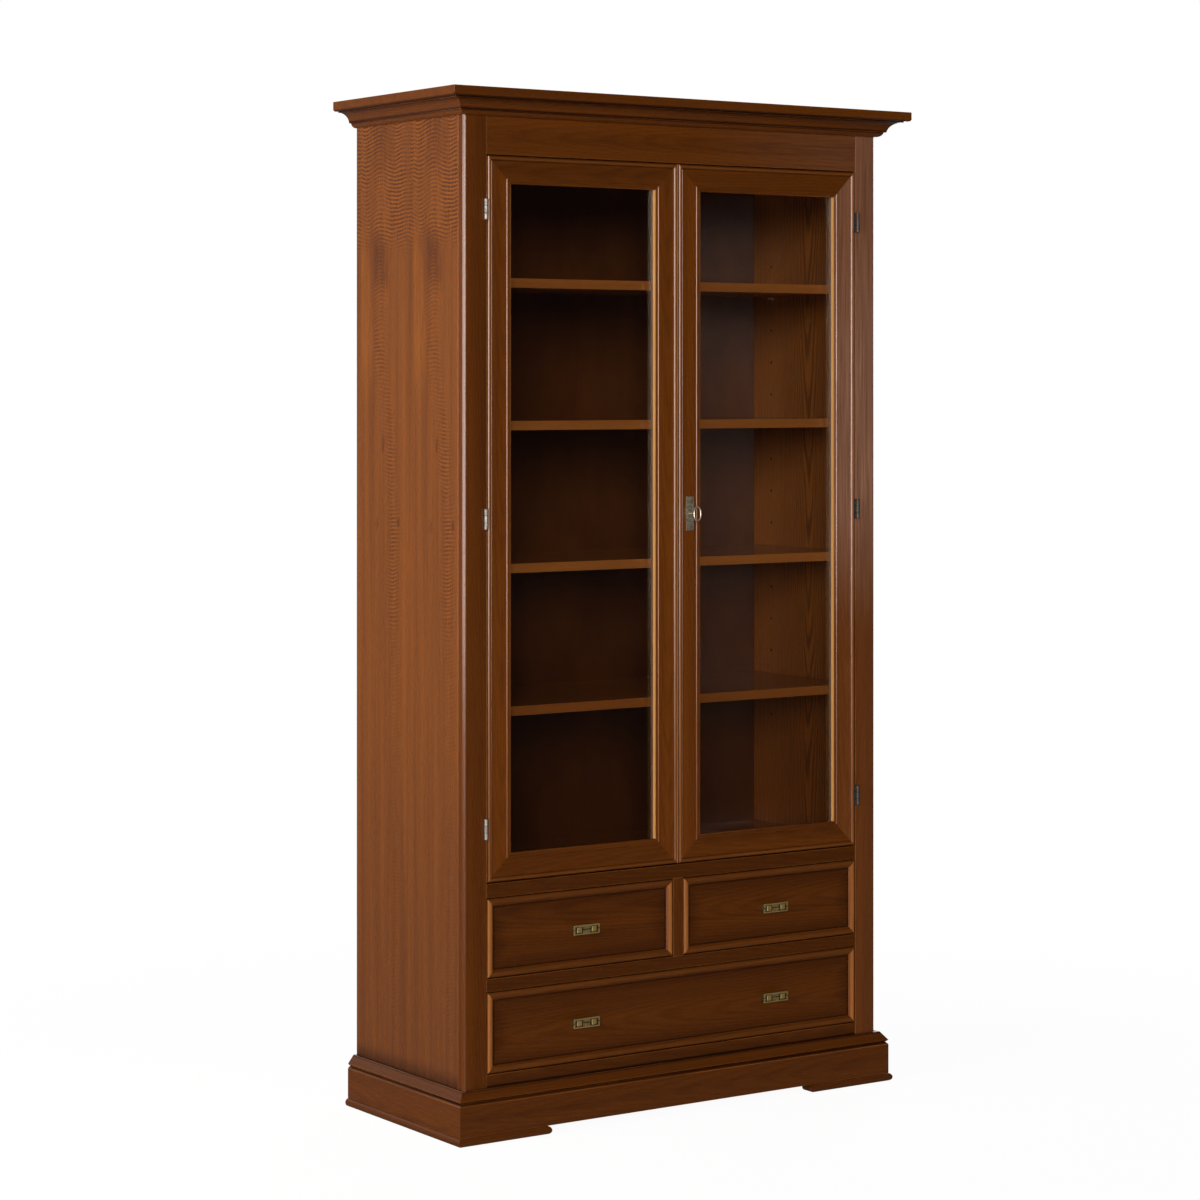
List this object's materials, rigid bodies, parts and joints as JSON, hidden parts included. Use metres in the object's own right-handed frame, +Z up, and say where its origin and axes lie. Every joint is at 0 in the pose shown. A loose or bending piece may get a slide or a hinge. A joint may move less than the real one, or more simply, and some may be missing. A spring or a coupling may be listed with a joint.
{
  "type": "bookcase with glass doors",
  "caption": "Tall wooden bookcase with a moulded cornice, a pair of glazed doors over inner shelves, and drawers with drop pulls above a plinth on runner feet.",
  "frame": {"origin": "on the floor, under the middle of the whole object's box", "axes": "+Z up, +Y towards the back, +X to the right of someone who faces the doors"},
  "size_m": [1.108, 0.459, 2],
  "materials": {
    "stained_wood": "stained red-brown, satin lacquer",
    "shelf_wood": "stained red-brown, satin lacquer",
    "back_board": "veneered board, satin",
    "plain_wood": "sanded, unstained",
    "pane_glass": "clear float glass",
    "hinge_steel": "plated, satin",
    "bolt_brass": "brushed, lightly aged",
    "lock_steel": "plain, satin",
    "antique_brass": "darkened, worn bright at the edges"
  },
  "bodies": {
    "case": {"left_side_panel": "stained_wood", "right_side_panel": "stained_wood", "left_front_post": "stained_wood", "right_front_post": "stained_wood", "frieze_rail": "stained_wood", "middle_rail": "stained_wood", "drawer_rail": "stained_wood", "base_rail": "stained_wood", "drawer_muntin": "stained_wood", "cornice_slab": "stained_wood", "cornice_moulding": "stained_wood", "plinth_boards": "stained_wood", "plinth_cap": "stained_wood", "left_foot": "stained_wood", "right_foot": "stained_wood", "cabinet_ceiling": "shelf_wood", "cabinet_floor": "shelf_wood", "shelf_1": "shelf_wood", "shelf_2": "shelf_wood", "shelf_3": "shelf_wood", "shelf_4": "shelf_wood", "back_panel": "back_board", "bottom_panel": "back_board", "drawer_shelf": "back_board", "drawer_partition": "back_board", "drawer_guides": "plain_wood", "hinge_post_leaves": "hinge_steel", "hinge_pins": "hinge_steel", "shelf_pins": "hinge_steel", "back_screws": "lock_steel"},
    "left_door": {"left_door_stiles": "stained_wood", "left_door_rails": "stained_wood", "left_door_glass": "pane_glass", "left_door_glazing_beads": "stained_wood", "left_door_hinge_leaves": "hinge_steel", "left_door_fittings": "bolt_brass"},
    "right_door": {"right_door_stiles": "stained_wood", "right_door_rails": "stained_wood", "right_door_glass": "pane_glass", "right_door_glazing_beads": "stained_wood", "right_door_hinge_leaves": "hinge_steel", "lock_case": "lock_steel", "escutcheon": "antique_brass"},
    "key": {"key": "bolt_brass"},
    "lock_bolt": {"lock_bolt": "bolt_brass"},
    "upper_bolt": {"upper_bolt": "bolt_brass"},
    "lower_bolt": {"lower_bolt": "bolt_brass"},
    "left_drawer": {"left_drawer_front": "stained_wood", "left_drawer_box": "plain_wood", "left_drawer_pull_plates": "antique_brass"},
    "right_drawer": {"right_drawer_front": "stained_wood", "right_drawer_box": "plain_wood", "right_drawer_pull_plates": "antique_brass"},
    "wide_drawer": {"wide_drawer_front": "stained_wood", "wide_drawer_box": "plain_wood", "wide_drawer_pull_plates": "antique_brass"},
    "left_drawer_drop": {"left_drawer_drop": "antique_brass"},
    "right_drawer_drop": {"right_drawer_drop": "antique_brass"},
    "wide_drawer_drop_1": {"wide_drawer_drop_1": "antique_brass"},
    "wide_drawer_drop_2": {"wide_drawer_drop_2": "antique_brass"}
  },
  "joints": [
    {"name": "left_door_swing", "type": "hinge", "parent": "case", "child": "left_door", "pos_m": [-0.452, -0.1795, 1.1825], "axis": [0, 0, -1], "range_deg": [0, 170]},
    {"name": "right_door_swing", "type": "hinge", "parent": "case", "child": "right_door", "pos_m": [0.452, -0.1795, 1.1825], "axis": [0, 0, 1], "range_deg": [0, 170]},
    {"name": "key_turn", "type": "hinge", "parent": "right_door", "child": "key", "pos_m": [0.029, -0.1741, 1.1825], "axis": [0, 1, 0], "range_deg": [0, 180]},
    {"name": "lock_bolt_slide", "type": "slide", "parent": "right_door", "child": "lock_bolt", "axis": [-1, 0, 0], "range_m": [0, 0.008]},
    {"name": "upper_bolt_slide", "type": "slide", "parent": "left_door", "child": "upper_bolt", "axis": [0, 0, 1], "range_m": [0, 0.014]},
    {"name": "lower_bolt_slide", "type": "slide", "parent": "left_door", "child": "lower_bolt", "axis": [0, 0, -1], "range_m": [0, 0.014]},
    {"name": "left_drawer_slide", "type": "slide", "parent": "case", "child": "left_drawer", "axis": [0, -1, 0], "range_m": [0, 0.28]},
    {"name": "right_drawer_slide", "type": "slide", "parent": "case", "child": "right_drawer", "axis": [0, -1, 0], "range_m": [0, 0.28]},
    {"name": "wide_drawer_slide", "type": "slide", "parent": "case", "child": "wide_drawer", "axis": [0, -1, 0], "range_m": [0, 0.28]},
    {"name": "left_drawer_drop_swing", "type": "hinge", "parent": "left_drawer", "child": "left_drawer_drop", "pos_m": [-0.23, -0.1906, 0.38155], "axis": [-1, 0, 0], "range_deg": [0, 85]},
    {"name": "right_drawer_drop_swing", "type": "hinge", "parent": "right_drawer", "child": "right_drawer_drop", "pos_m": [0.23, -0.1906, 0.38155], "axis": [-1, 0, 0], "range_deg": [0, 85]},
    {"name": "wide_drawer_drop_1_swing", "type": "hinge", "parent": "wide_drawer", "child": "wide_drawer_drop_1", "pos_m": [-0.23, -0.1906, 0.20105], "axis": [-1, 0, 0], "range_deg": [0, 85]},
    {"name": "wide_drawer_drop_2_swing", "type": "hinge", "parent": "wide_drawer", "child": "wide_drawer_drop_2", "pos_m": [0.23, -0.1906, 0.20105], "axis": [-1, 0, 0], "range_deg": [0, 85]}
  ],
  "couplings": [
    {"joint": "lock_bolt_slide", "follows": "key_turn", "m_per_rad": 0.002546}
  ]
}
